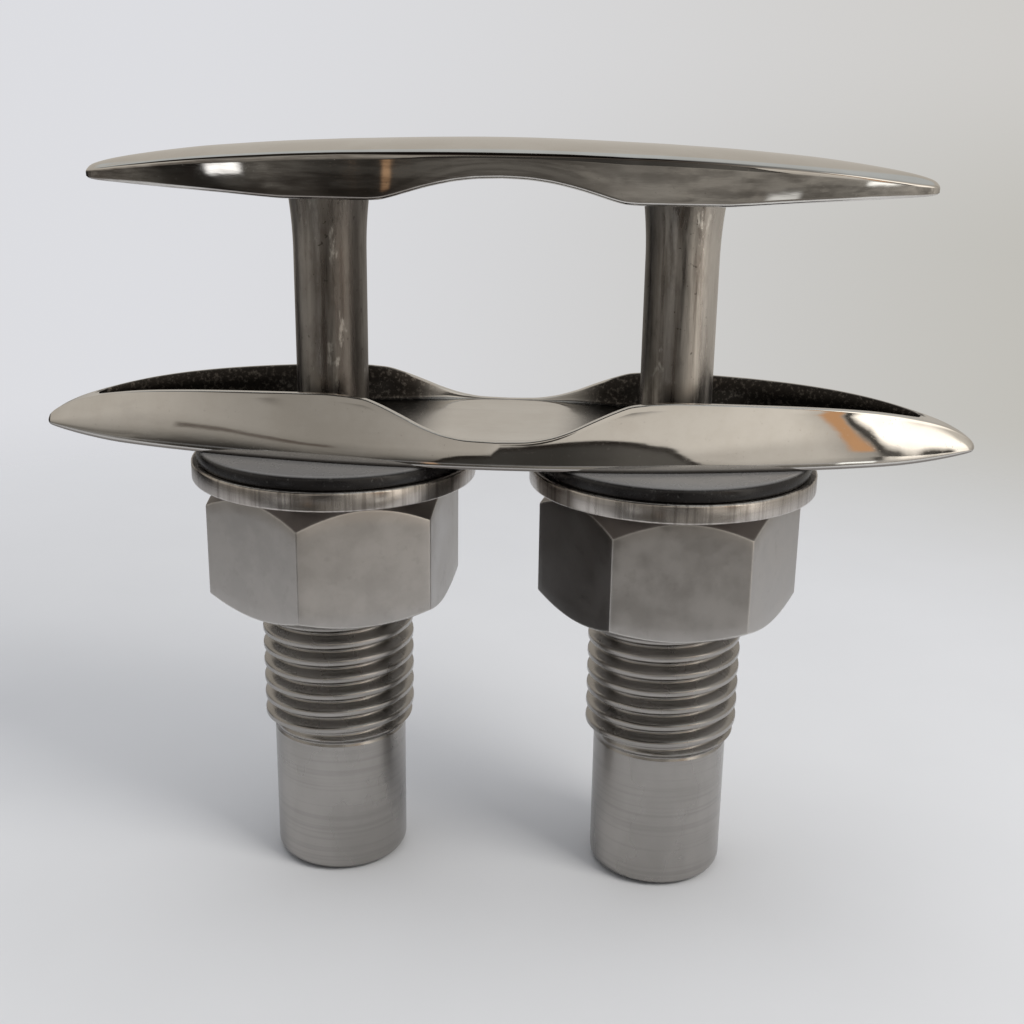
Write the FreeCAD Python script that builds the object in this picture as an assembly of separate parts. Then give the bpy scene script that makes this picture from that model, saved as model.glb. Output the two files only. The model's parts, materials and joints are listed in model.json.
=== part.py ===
import FreeCAD
import Part
import math
import os

# Pull-up mooring cleat, raised. Millimetres: X along the cleat, Y across it, Z up.
# The origin is the middle of the base underside, where it sits on the deck.

# overall layout
POST_SPACING = 64.0        # between the two post axes
TRAVEL = 40.0              # from raised down to stowed
HORN_UNDERSIDE_Z = 45.6    # raised, where the posts meet the horn
RECESS_FLOOR_Z = 5.0       # horn pocket in the top of the base
GAP = 0.05                 # radial gap where one part locates inside another

# horn, half of it: distance out, half width, underside, shoulder, crown
HORN_STATIONS = [
    (0.0, 11.5, 49.8, 54.1, 56.2), (4.0, 11.5, 49.65, 54.1, 56.18),
    (8.0, 11.5, 49.2, 54.08, 56.12), (11.0, 11.48, 48.6, 54.05, 56.05),
    (14.0, 11.45, 47.85, 54.0, 55.98), (17.0, 11.4, 46.95, 53.95, 55.88),
    (19.5, 11.36, 46.2, 53.9, 55.8), (21.5, 11.3, 45.75, 53.86, 55.73),
    (24.0, 11.2, 45.6, 53.8, 55.64), (28.0, 11.1, 45.6, 53.7, 55.5),
    (32.0, 10.95, 45.6, 53.55, 55.3), (38.0, 10.6, 45.6, 53.25, 55.0),
    (42.0, 10.3, 45.8, 53.0, 54.75), (48.0, 9.6, 46.2, 52.6, 54.3),
    (54.0, 8.65, 46.55, 52.1, 53.8), (60.0, 7.35, 46.85, 51.5, 53.1),
    (65.0, 5.95, 47.1, 50.9, 52.4), (69.0, 4.6, 47.3, 50.4, 51.75),
    (72.0, 3.5, 47.45, 49.95, 51.15), (74.2, 2.6, 47.6, 49.65, 50.55),
    (75.4, 1.95, 47.8, 49.4, 50.05), (76.0, 1.3, 48.1, 49.1, 49.45),
]
HORN_SIDE_BULGE = 0.25
HORN_LEAN = 0.45           # how far the shoulder sits inside the widest point
HORN_LOWER_ROUND = 0.8
HORN_UPPER_ROUND = 1.1

# base, half of it: distance out, half width at the deck, half width at the rim, rim height
BASE_STATIONS = [
    (0.0, 18.6, 14.6, 12.2), (10.0, 18.4, 14.5, 12.2), (20.0, 17.9, 14.25, 12.15),
    (30.0, 16.9, 13.8, 12.0), (38.0, 15.7, 13.2, 11.85), (46.0, 14.2, 12.2, 11.6),
    (54.0, 12.4, 10.75, 11.2), (61.0, 10.6, 9.1, 10.65), (67.0, 8.75, 7.25, 9.95),
    (72.0, 6.95, 5.45, 9.1), (77.0, 5.05, 3.6, 7.95), (81.0, 3.6, 2.3, 6.75),
    (84.0, 2.5, 1.45, 5.4), (86.0, 1.65, 0.9, 4.1), (87.2, 0.85, 0.4, 2.95),
]
# how far the underside rises towards each tip: distance out, height
BASE_TIP_CURVE = [
    (69.0, -0.05), (74.0, 0.1), (78.0, 0.35), (82.0, 0.75), (85.0, 1.2), (87.2, 1.65), (88.0, 1.85),
]
BASE_BULGE_POWER = 1.9
BASE_LOWER_ROUND = 0.9
BASE_SIDE_POINTS = 6
# height of the saddle between the posts
VALLEY_CURVE = [
    (0.0, 5.1), (5.0, 5.25), (9.0, 5.85), (13.0, 7.1), (17.0, 8.85),
    (21.0, 10.5), (24.0, 11.5), (27.0, 12.05), (30.0, 12.6),
]
VALLEY_CLEAR_Z = 30.0
# half width of the pocket that holds the horn
POCKET_CURVE = [
    (0.0, 16.5), (7.0, 16.3), (12.0, 15.65), (17.0, 14.6), (22.0, 13.5), (27.0, 12.85),
    (32.0, 12.45), (38.0, 11.9), (46.0, 10.9), (54.0, 9.45), (61.0, 7.8), (67.0, 5.95),
    (71.5, 4.4), (75.0, 2.65), (76.9, 0.0),
]

# posts
POST_R = 6.65
POST_FLARE_R = 7.3
POST_FLARE_HEIGHT = 10.0
POST_SPIGOT_R = 5.0
POST_SPIGOT_LENGTH = 5.0
POST_TAIL_R = 4.5
POST_TAIL_TOP_Z = -16.05
COLLAR_HEIGHT = 10.0
COLLAR_R = 9.2
SCREW_R = 2.5
SCREW_LENGTH = 12.0
SCREW_HEAD_R = 5.6
SCREW_HEAD_HEIGHT = 4.0
SCREW_SOCKET_FLATS = 4.0
SCREW_SOCKET_DEPTH = 2.5

# threaded barrels
BARREL_R = 13.0
BARREL_BORE_R = 9.5
BARREL_BOTTOM_Z = -85.5
BARREL_EDGE_ROUND = 2.5
BARREL_BORE_SPARE = 4.0     # left under the screw heads when stowed
BARREL_NECK_R = 12.0
BARREL_NECK_HEIGHT = 2.5
THREAD_CREST_R = 14.75
THREAD_ROOT_R = 12.7
THREAD_PITCH = 3.5
THREAD_LENGTH = 57.5
THREAD_CREST_FLAT = 0.7
THREAD_ROOT_FLAT = 0.7
THREAD_BITE = 0.15         # how far the ridge is sunk in the barrel so the two join

# guide bushes and their friction rings
BUSH_BORE_R = 6.72
BUSH_MOUTH_R = 7.5
BUSH_MOUTH_DEPTH = 11.0
BUSH_FLANGE_R = 11.3
BUSH_FLANGE_HEIGHT = 1.5
BUSH_BOTTOM_Z = -16.0
RING_Z = -11.0
RING_WIRE_R = 1.0

# washers and nuts
RUBBER_R = 25.8
RUBBER_HEIGHT = 2.6
STEEL_R = 26.8
STEEL_HEIGHT = 3.6
STEEL_EDGE = 0.35
WASHER_BORE_R = 15.0
NUT_FLATS = 43.0
NUT_HEIGHT = 24.0
NUT_BORE_R = 15.0
NUT_MOUTH_R = 15.6
NUT_CHAMFER_TOP_R = 19.75
NUT_CHAMFER_TOP_SLOPE = 0.89
NUT_CHAMFER_LOW_R = 21.2
NUT_CHAMFER_LOW_SLOPE = 0.577
NUT_TURN_DEG = {"left": 24.0, "right": 4.0}

UP = FreeCAD.Vector(0, 0, 1)
SCREW_HEAD_Z = POST_TAIL_TOP_Z - COLLAR_HEIGHT - SCREW_HEAD_HEIGHT
BARREL_BORE_BOTTOM_Z = SCREW_HEAD_Z - TRAVEL - BARREL_BORE_SPARE
SIDES = {"left": -POST_SPACING / 2, "right": POST_SPACING / 2}


def point(x, y, z):
    return FreeCAD.Vector(x, y, z)


def drum(r, z_low, z_high, x=0.0):
    return Part.makeCylinder(r, z_high - z_low, point(x, 0, z_low))


def lathe(outline):
    """Turn a closed list of (radius, height) pairs about the Z axis."""
    corners = [point(r, 0, z) for r, z in outline]
    face = Part.Face(Part.makePolygon(corners + corners[:1]))
    return face.revolve(point(0, 0, 0), UP, 360)


def smooth_edge(points):
    curve = Part.BSplineCurve()
    curve.interpolate(points)
    return curve.toShape()


def arc(a, b, c):
    return Part.Arc(a, b, c).toShape()


def mirrored_stations(stations):
    """Stations for the whole length, from the left tip to the right tip."""
    left = [(-s[0],) + tuple(s[1:]) for s in reversed(stations) if s[0] > 0]
    return left + [tuple(s) for s in stations]


def horn_section(x, half, low, shoulder, crown):
    """One closed slice across the horn."""
    height = shoulder - low
    lower = min(HORN_LOWER_ROUND, 0.22 * height)
    upper = min(HORN_UPPER_ROUND, 0.3 * height)
    inset = min(HORN_LEAN, 0.2 * half)
    bend = 1.0 - math.sqrt(0.5)
    top_y = half - inset - upper
    top_z = shoulder + 0.15 * (crown - shoulder)
    side_low = point(x, half - HORN_SIDE_BULGE * inset, low + lower)
    side_mid = point(x, half, low + 0.45 * height)
    side_high = point(x, half - inset, shoulder - upper)
    right = [
        (point(x, half - lower, low), point(x, half - lower * bend, low + lower * bend), side_low),
        (side_low, side_mid, side_high),
        (side_high, point(x, half - inset - upper * bend, shoulder - upper * bend),
         point(x, top_y, top_z)),
    ]
    edges = [Part.makeLine(point(x, -(half - lower), low), point(x, half - lower, low))]
    edges += [arc(*curve) for curve in right]
    edges.append(arc(point(x, top_y, top_z), point(x, 0, crown), point(x, -top_y, top_z)))
    for a, b, c in reversed(right):
        edges.append(arc(point(x, -c.y, c.z), point(x, -b.y, b.z), point(x, -a.y, a.z)))
    return Part.Wire(edges)


def make_horn():
    slices = [horn_section(*s) for s in mirrored_stations(HORN_STATIONS)]
    horn = Part.makeLoft(slices, True, False)
    under = HORN_UNDERSIDE_Z
    for x in SIDES.values():
        horn = horn.cut(drum(POST_FLARE_R + GAP, under - 1, under, x))
        horn = horn.cut(drum(POST_SPIGOT_R + GAP, under - 1, under + POST_SPIGOT_LENGTH + GAP, x))
    return horn


def base_section(x, deck_half, rim_half, rim_z):
    """One closed slice across the base, before the pocket and saddle are cut."""
    low = min(BASE_LOWER_ROUND, 0.25 * rim_z)
    side = []
    for i in range(BASE_SIDE_POINTS + 1):
        share = i / BASE_SIDE_POINTS
        y = deck_half - (deck_half - rim_half) * share ** BASE_BULGE_POWER
        side.append((y, low + (rim_z - low) * share))
    foot = (deck_half - 0.7 * low, 0.0)
    heel = (deck_half - 0.2 * low, 0.3 * low)
    right = [point(x, y, z) for y, z in side]
    left = [point(x, -y, z) for y, z in reversed(side)]
    edges = [
        Part.makeLine(point(x, -foot[0], 0), point(x, foot[0], 0)),
        arc(point(x, foot[0], 0), point(x, *heel), right[0]),
        smooth_edge(right),
        Part.makeLine(right[-1], left[0]),
        smooth_edge(left),
        arc(left[-1], point(x, -heel[0], heel[1]), point(x, -foot[0], 0)),
    ]
    return Part.Wire(edges)


def whole_curve(half_curve, flip=1.0):
    points = [(-a, b) for a, b in reversed(half_curve) if a > 0] + list(half_curve)
    return [(a, flip * b) for a, b in points]


def pocket_tool():
    """The pocket, as a plan outline carried upwards from its floor."""
    far = smooth_edge([point(x, y, RECESS_FLOOR_Z) for x, y in whole_curve(POCKET_CURVE)])
    near = smooth_edge([point(x, y, RECESS_FLOOR_Z) for x, y in whole_curve(POCKET_CURVE, -1.0)])
    return Part.Face(Part.Wire([far, near])).extrude(point(0, 0, VALLEY_CLEAR_Z))


def valley_tool():
    """The saddle between the posts, as a side outline carried across the base."""
    reach = 2 * BASE_STATIONS[0][1]
    low = [point(x, -reach / 2, z) for x, z in whole_curve(VALLEY_CURVE)]
    end = VALLEY_CURVE[-1][0]
    edges = [
        smooth_edge(low),
        Part.makeLine(low[-1], point(end, -reach / 2, VALLEY_CLEAR_Z)),
        Part.makeLine(point(end, -reach / 2, VALLEY_CLEAR_Z), point(-end, -reach / 2, VALLEY_CLEAR_Z)),
        Part.makeLine(point(-end, -reach / 2, VALLEY_CLEAR_Z), low[0]),
    ]
    return Part.Face(Part.Wire(edges)).extrude(point(0, reach, 0))


def tip_tool(side):
    """What is taken off the underside of one tip, as a side outline carried across the base."""
    reach = 2 * BASE_STATIONS[0][1]
    under = -BASE_LOWER_ROUND
    rise = [point(side * x, -reach / 2, z) for x, z in BASE_TIP_CURVE]
    near = point(rise[0].x, -reach / 2, under)
    far = point(rise[-1].x, -reach / 2, under)
    edges = [
        smooth_edge(rise),
        Part.makeLine(rise[-1], far),
        Part.makeLine(far, near),
        Part.makeLine(near, rise[0]),
    ]
    return Part.Face(Part.Wire(edges)).extrude(point(0, reach, 0))


def make_base():
    slices = [base_section(*s) for s in mirrored_stations(BASE_STATIONS)]
    base = Part.makeLoft(slices, True, False)
    base = base.cut(valley_tool()).cut(pocket_tool()).cut(tip_tool(-1)).cut(tip_tool(1))
    flange_z = RECESS_FLOOR_Z - BUSH_FLANGE_HEIGHT
    for x in SIDES.values():
        base = base.cut(drum(BARREL_NECK_R + GAP, -1, BARREL_NECK_HEIGHT, x))
        base = base.cut(drum(BARREL_BORE_R + GAP, -1, flange_z + 1, x))
        base = base.cut(drum(BUSH_FLANGE_R + GAP, flange_z, RECESS_FLOOR_Z + 1, x))
    return base


def make_post():
    top = HORN_UNDERSIDE_Z
    tail = POST_TAIL_TOP_Z - COLLAR_HEIGHT
    steps = 6
    outline = [(0, top + POST_SPIGOT_LENGTH), (POST_SPIGOT_R, top + POST_SPIGOT_LENGTH),
               (POST_SPIGOT_R, top)]
    for i in range(steps + 1):
        share = 1 - i / steps
        radius = POST_R + (POST_FLARE_R - POST_R) * share ** 2
        outline.append((radius, top - POST_FLARE_HEIGHT * (1 - share)))
    outline += [(POST_R, POST_TAIL_TOP_Z), (POST_TAIL_R, POST_TAIL_TOP_Z), (POST_TAIL_R, tail), (0, tail)]
    return lathe(outline).cut(drum(SCREW_R + GAP, tail - 1, tail + SCREW_LENGTH + 1))


def make_collar():
    low, high = POST_TAIL_TOP_Z - COLLAR_HEIGHT, POST_TAIL_TOP_Z
    edge = 0.6
    outline = [(POST_TAIL_R + GAP, low), (COLLAR_R - edge, low), (COLLAR_R, low + edge),
               (COLLAR_R, high - edge), (COLLAR_R - edge, high), (POST_TAIL_R + GAP, high)]
    return lathe(outline)


def hexagon(flats, z):
    corner = flats / math.sqrt(3)
    turns = [math.radians(60 * i) for i in range(7)]
    return Part.makePolygon([point(corner * math.cos(t), corner * math.sin(t), z) for t in turns])


def make_screw():
    low = SCREW_HEAD_Z
    seat = low + SCREW_HEAD_HEIGHT
    edge = 0.4
    outline = [(0, low), (SCREW_HEAD_R - edge, low), (SCREW_HEAD_R, low + edge), (SCREW_HEAD_R, seat),
               (SCREW_R, seat), (SCREW_R, seat + SCREW_LENGTH), (0, seat + SCREW_LENGTH)]
    socket = Part.Face(hexagon(SCREW_SOCKET_FLATS, low)).extrude(UP * SCREW_SOCKET_DEPTH)
    return lathe(outline).cut(socket)


def thread_ridge():
    """The raised right-hand helix of the thread, run on past the top to be cut off there."""
    radius = THREAD_ROOT_R - THREAD_BITE
    start = THREAD_PITCH / 4 - THREAD_LENGTH
    helix = Part.makeHelix(THREAD_PITCH, THREAD_PITCH - start, radius)
    helix.translate(point(0, 0, start))
    root = (THREAD_PITCH - THREAD_ROOT_FLAT) / 2
    crest = THREAD_CREST_FLAT / 2
    corners = [point(radius, 0, start - root), point(THREAD_CREST_R, 0, start - crest),
               point(THREAD_CREST_R, 0, start + crest), point(radius, 0, start + root)]
    profile = Part.makePolygon(corners + corners[:1])
    return Part.Wire(helix.Edges).makePipeShell([profile], True, True)


def make_barrel():
    """Closed tube with a coarse outside thread on its upper part."""
    low, lead = BARREL_BOTTOM_Z, -THREAD_LENGTH
    spare = 3 * THREAD_PITCH
    body = lathe([(0, low), (BARREL_R, low), (BARREL_R, lead), (THREAD_ROOT_R, lead), (THREAD_ROOT_R, spare),
                  (0, spare)])
    foot = [e for e in body.Edges if e.BoundBox.ZMax - low < 0.001 and e.Length > BARREL_R]
    body = body.makeFillet(BARREL_EDGE_ROUND, foot).fuse(thread_ridge())
    body = body.cut(drum(THREAD_CREST_R + spare, 0, 2 * spare))
    lead_cone = lathe([(BARREL_R, lead - spare), (BARREL_R + spare, lead - spare),
                       (BARREL_R + spare, lead + spare), (BARREL_R, lead)])
    drill_tip = BARREL_BORE_R * 0.4
    bore = lathe([(0, 1), (BARREL_BORE_R, 1), (BARREL_BORE_R, BARREL_BORE_BOTTOM_Z),
                  (0, BARREL_BORE_BOTTOM_Z - drill_tip)])
    neck = lathe([(BARREL_BORE_R, -1), (BARREL_NECK_R, -1), (BARREL_NECK_R, BARREL_NECK_HEIGHT),
                  (BARREL_BORE_R, BARREL_NECK_HEIGHT)])
    return body.cut(lead_cone).cut(bore).fuse(neck)


def make_bush():
    top = RECESS_FLOOR_Z
    under = top - BUSH_FLANGE_HEIGHT
    outer = BARREL_BORE_R - GAP
    outline = [(BUSH_BORE_R, BUSH_BOTTOM_Z), (outer, BUSH_BOTTOM_Z), (outer, under),
               (BUSH_FLANGE_R, under), (BUSH_FLANGE_R, top), (BUSH_MOUTH_R, top),
               (BUSH_BORE_R, top - BUSH_MOUTH_DEPTH)]
    groove = lathe([(BUSH_BORE_R - 1, RING_Z - RING_WIRE_R - GAP),
                    (POST_R + 2 * RING_WIRE_R + 2 * GAP, RING_Z - RING_WIRE_R - GAP),
                    (POST_R + 2 * RING_WIRE_R + 2 * GAP, RING_Z + RING_WIRE_R + GAP),
                    (BUSH_BORE_R - 1, RING_Z + RING_WIRE_R + GAP)])
    return lathe(outline).cut(groove)


def make_ring():
    return Part.makeTorus(POST_R + RING_WIRE_R + 0.01, RING_WIRE_R, point(0, 0, RING_Z))


def make_rubber_washer():
    return drum(RUBBER_R, -RUBBER_HEIGHT, 0).cut(drum(WASHER_BORE_R, -RUBBER_HEIGHT - 1, 1))


def make_steel_washer():
    high = -RUBBER_HEIGHT
    low = high - STEEL_HEIGHT
    outline = [(WASHER_BORE_R, low), (STEEL_R - STEEL_EDGE, low), (STEEL_R, low + STEEL_EDGE),
               (STEEL_R, high - STEEL_EDGE), (STEEL_R - STEEL_EDGE, high), (WASHER_BORE_R, high)]
    return lathe(outline)


def make_nut(turn_deg):
    """Hexagon nut, chamfered deeply on the washer side and lightly below."""
    high = -RUBBER_HEIGHT - STEEL_HEIGHT
    low = high - NUT_HEIGHT
    corner = NUT_FLATS / math.sqrt(3) + 1
    drop = (corner - NUT_CHAMFER_TOP_R) * NUT_CHAMFER_TOP_SLOPE
    rise = (corner - NUT_CHAMFER_LOW_R) * NUT_CHAMFER_LOW_SLOPE
    cone = lathe([(0, low), (NUT_CHAMFER_LOW_R, low), (corner, low + rise), (corner, high - drop),
                  (NUT_CHAMFER_TOP_R, high), (0, high)])
    nut = Part.Face(hexagon(NUT_FLATS, low)).extrude(UP * NUT_HEIGHT).common(cone)
    flare = NUT_MOUTH_R - NUT_BORE_R
    bore = lathe([(0, low - 1), (NUT_MOUTH_R, low - 1), (NUT_MOUTH_R, low), (NUT_BORE_R, low + flare),
                  (NUT_BORE_R, high - flare), (NUT_MOUTH_R, high), (NUT_MOUTH_R, high + 1), (0, high + 1)])
    nut = nut.cut(bore)
    nut.rotate(point(0, 0, 0), UP, turn_deg)
    return nut


def save(name, shape, x=0.0):
    solid = shape.copy()
    solid.translate(point(x, 0, 0))
    if len(solid.Solids) != 1 or not solid.isValid():
        raise ValueError(name + " is not one sound solid")
    solid.Solids[0].exportStep("parts/" + name + ".step")


os.makedirs("parts", exist_ok=True)
save("base_plate", make_base())
save("horn_bar", make_horn())
MAKERS = {
    "post": make_post,
    "stop_collar": make_collar,
    "collar_screw": make_screw,
    "barrel": make_barrel,
    "guide_bush": make_bush,
    "friction_ring": make_ring,
    "rubber_washer": make_rubber_washer,
    "steel_washer": make_steel_washer,
}
for piece, maker in MAKERS.items():
    shape = maker()
    for side, x in SIDES.items():
        save(piece + "_" + side, shape, x)
for side, x in SIDES.items():
    save("hex_nut_" + side, make_nut(NUT_TURN_DEG[side]), x)
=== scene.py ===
import json
import math

import bmesh
import bpy
from mathutils import Matrix, Vector


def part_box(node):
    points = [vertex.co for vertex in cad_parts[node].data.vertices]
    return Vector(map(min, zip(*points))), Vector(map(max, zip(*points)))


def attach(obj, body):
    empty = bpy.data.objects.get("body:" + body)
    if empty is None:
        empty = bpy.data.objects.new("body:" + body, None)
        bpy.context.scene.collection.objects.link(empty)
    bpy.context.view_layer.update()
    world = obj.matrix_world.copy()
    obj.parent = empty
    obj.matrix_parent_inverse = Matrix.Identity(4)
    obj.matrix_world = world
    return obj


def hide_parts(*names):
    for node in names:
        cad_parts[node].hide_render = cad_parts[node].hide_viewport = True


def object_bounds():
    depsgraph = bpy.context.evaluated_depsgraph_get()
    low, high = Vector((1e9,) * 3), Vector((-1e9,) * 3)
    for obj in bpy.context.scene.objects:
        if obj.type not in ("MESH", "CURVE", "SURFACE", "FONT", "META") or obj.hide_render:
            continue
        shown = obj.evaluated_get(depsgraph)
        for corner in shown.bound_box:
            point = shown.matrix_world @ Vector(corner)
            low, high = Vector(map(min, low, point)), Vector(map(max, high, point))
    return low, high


MM = 0.001
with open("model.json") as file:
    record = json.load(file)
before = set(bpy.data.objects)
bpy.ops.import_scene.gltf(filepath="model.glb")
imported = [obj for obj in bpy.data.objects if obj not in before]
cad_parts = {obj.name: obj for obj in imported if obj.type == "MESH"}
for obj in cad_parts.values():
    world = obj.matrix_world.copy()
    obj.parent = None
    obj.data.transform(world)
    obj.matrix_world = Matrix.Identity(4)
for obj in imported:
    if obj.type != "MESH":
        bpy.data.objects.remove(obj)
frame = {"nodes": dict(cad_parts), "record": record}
cad_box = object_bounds()
bodies = frame["record"]["behaviour"]["bodies"]
node_body = {n: b for b, ns in bodies.items() for n in ns}
SIDES = ("left", "right")


def middle(node):
    low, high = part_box(node)
    return (low + high) / 2 / MM


def span(node):
    low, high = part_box(node)
    return (high - low) / MM


AXIS_X = {s: middle("post_" + s).x for s in SIDES}

# Sizes that more than one piece needs. All sizes of pieces are in millimetres.
GAP = 0.05             # round a piece that sits in a hole
POST_R = 6.65
SPIGOT_R = 5.0         # the post ends that sit in the horn
SPIGOT_LENGTH = 5.0
HORN_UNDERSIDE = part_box("post_left")[1].z / MM - SPIGOT_LENGTH
NECK_R = 12.0          # the barrel ends that sit in the base
NECK_TOP = 2.5
BORE_R = 9.5           # inside the barrels
FLANGE_R = 11.3        # the bush flanges, let into the pocket floor
FLANGE_Z = 3.5
WASHER_BORE_R = 15.0
RUBBER_HEIGHT = 2.6
STEEL_HEIGHT = 3.6


# ---------------------------------------------------------------- curves and meshes

def smooth_curve(points):
    """A smooth function through (position, value) points, with no overshoot between them."""
    xs = [p[0] for p in points]
    ys = [p[1] for p in points]
    n = len(xs)
    secants = [(ys[i + 1] - ys[i]) / (xs[i + 1] - xs[i]) for i in range(n - 1)]
    slopes = [secants[0]]
    for i in range(1, n - 1):
        a, b = secants[i - 1], secants[i]
        slopes.append(0.0 if a * b <= 0 else 2 * a * b / (a + b))
    slopes.append(secants[-1])

    def at(x):
        x = min(max(x, xs[0]), xs[-1])
        i = 0
        while i < n - 2 and x > xs[i + 1]:
            i += 1
        h = xs[i + 1] - xs[i]
        t = (x - xs[i]) / h
        return (ys[i] * (1 + 2 * t) * (1 - t) ** 2 + slopes[i] * h * t * (1 - t) ** 2
                + ys[i + 1] * t * t * (3 - 2 * t) + slopes[i + 1] * h * t * t * (t - 1))
    return at


def ease(a, b, x):
    t = min(max((x - a) / (b - a), 0.0), 1.0)
    return t * t * (3 - 2 * t)


def clean_mesh(name, verts, faces):
    """A closed mesh, given in millimetres, with doubled points merged and normals outwards."""
    mesh = bpy.data.meshes.new(name)
    mesh.from_pydata([Vector(v) * MM for v in verts], [], faces)
    bm = bmesh.new()
    bm.from_mesh(mesh)
    bmesh.ops.remove_doubles(bm, verts=bm.verts, dist=2e-7)
    bmesh.ops.dissolve_degenerate(bm, edges=bm.edges, dist=1e-7)
    bmesh.ops.delete(bm, geom=[edge for edge in bm.edges if edge.is_wire], context="EDGES")
    bmesh.ops.recalc_face_normals(bm, faces=bm.faces)
    bm.to_mesh(mesh)
    bm.free()
    return mesh


def carve(piece, outline):
    """Cut a turned hole, of the given (radius, height) outline, out of a piece at each post axis."""
    cutters = []
    for x in AXIS_X.values():
        verts, faces = lathe(outline + outline[:1], x, 96)
        cutter = bpy.data.objects.new("cutter", clean_mesh("cutter", verts, faces))
        bpy.context.scene.collection.objects.link(cutter)
        hole = piece.modifiers.new("hole", "BOOLEAN")
        hole.operation = "DIFFERENCE"
        hole.solver = "EXACT"
        hole.object = cutter
        cutters.append(cutter)
    solid = piece.data
    piece.data = bpy.data.meshes.new_from_object(
        piece.evaluated_get(bpy.context.evaluated_depsgraph_get()))
    piece.modifiers.clear()
    for mesh in [solid] + [cutter.data for cutter in cutters]:
        bpy.data.meshes.remove(mesh)
    piece.data.name = piece.name


def make_piece(name, verts, faces, replaced, smooth_deg=40, hole=None):
    """A new mesh piece that stands for one CAD node and rides on its body."""
    piece = bpy.data.objects.new(name, clean_mesh(name, verts, faces))
    bpy.context.scene.collection.objects.link(piece)
    if hole:
        carve(piece, hole)
    bm = bmesh.new()
    bm.from_mesh(piece.data)
    limit = math.radians(smooth_deg)
    for face in bm.faces:
        face.smooth = True
    for edge in bm.edges:
        edge.smooth = not edge.is_manifold or edge.calc_face_angle(0.0) < limit
    bm.to_mesh(piece.data)
    bm.free()
    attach(piece, node_body[replaced])
    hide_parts(replaced)
    return piece


def grid_faces(rows, columns, wrap):
    faces = []
    for i in range(rows - 1):
        for j in range(columns if wrap else columns - 1):
            k = (j + 1) % columns
            faces.append((i * columns + j, i * columns + k, (i + 1) * columns + k, (i + 1) * columns + j))
    return faces


def lathe(profile, x, segments=128):
    """Verts and faces of a closed (radius, height) outline turned about a vertical axis at x."""
    verts = []
    for r, z in profile:
        for j in range(segments):
            t = 2 * math.pi * j / segments
            verts.append((x + r * math.cos(t), r * math.sin(t), z))
    return verts, grid_faces(len(profile), segments, True)


def corner(a, b, c, radius, steps=4):
    """Points rounding the corner b of the outline a, b, c."""
    pa, pb, pc = Vector(a), Vector(b), Vector(c)
    u, v = (pa - pb).normalized(), (pc - pb).normalized()
    half = math.acos(max(-1.0, min(1.0, u.dot(v)))) / 2
    reach = min(radius / math.tan(half), (pa - pb).length * 0.49, (pc - pb).length * 0.49)
    size = reach * math.tan(half)
    centre = pb + (u + v).normalized() * size / math.sin(half)
    start, end = pb + u * reach - centre, pb + v * reach - centre
    sweep = start.angle(end)
    turn = 1 if start.x * end.y - start.y * end.x > 0 else -1
    points = []
    for i in range(steps + 1):
        t = turn * sweep * i / steps
        points.append((centre.x + start.x * math.cos(t) - start.y * math.sin(t),
                       centre.y + start.x * math.sin(t) + start.y * math.cos(t)))
    return points


def rounded(outline, radii, steps=4):
    """An outline with the corners named in radii (index to radius) rounded."""
    out = []
    n = len(outline)
    for i, p in enumerate(outline):
        if i in radii:
            out += corner(outline[i - 1], p, outline[(i + 1) % n], radii[i], steps)
        else:
            out.append(p)
    return out


def turned_piece(node, outline, radii, segments):
    """A lathed piece on the post axis of its own side."""
    side = node.rsplit("_", 1)[1]
    profile = rounded(outline, radii)
    verts, faces = lathe(profile + profile[:1], AXIS_X[side], segments)
    return make_piece(node + "_shape", verts, faces, node)


# ---------------------------------------------------------------- horn

# distance from the middle, half width, underside, shoulder and crown heights
HORN = [
    (0.0, 11.5, 49.8, 54.1, 56.2), (4.0, 11.5, 49.65, 54.1, 56.18),
    (8.0, 11.5, 49.2, 54.08, 56.12), (11.0, 11.48, 48.6, 54.05, 56.05),
    (14.0, 11.45, 47.85, 54.0, 55.98), (17.0, 11.4, 46.95, 53.95, 55.88),
    (19.5, 11.36, 46.2, 53.9, 55.8), (21.5, 11.3, 45.75, 53.86, 55.73),
    (24.0, 11.2, 45.6, 53.8, 55.64), (28.0, 11.1, 45.6, 53.7, 55.5),
    (32.0, 10.95, 45.6, 53.55, 55.3), (38.0, 10.6, 45.6, 53.25, 55.0),
    (42.0, 10.3, 45.8, 53.0, 54.75), (48.0, 9.6, 46.2, 52.6, 54.3),
    (54.0, 8.65, 46.55, 52.1, 53.8), (60.0, 7.35, 46.85, 51.5, 53.1),
    (65.0, 5.95, 47.1, 50.9, 52.4), (69.0, 4.6, 47.3, 50.4, 51.75),
    (72.0, 3.5, 47.45, 49.95, 51.15), (74.2, 2.6, 47.6, 49.65, 50.55),
    (75.4, 1.95, 47.8, 49.4, 50.05), (76.0, 1.3, 48.1, 49.1, 49.45),
]
HORN_UNDERCUT = 0.1      # how far the side draws in towards the bottom, per unit of height
HORN_LOWER_ROUND = 0.9
HORN_UPPER_ROUND = 0.55
HORN_HALF_SLICES = 110


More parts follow.
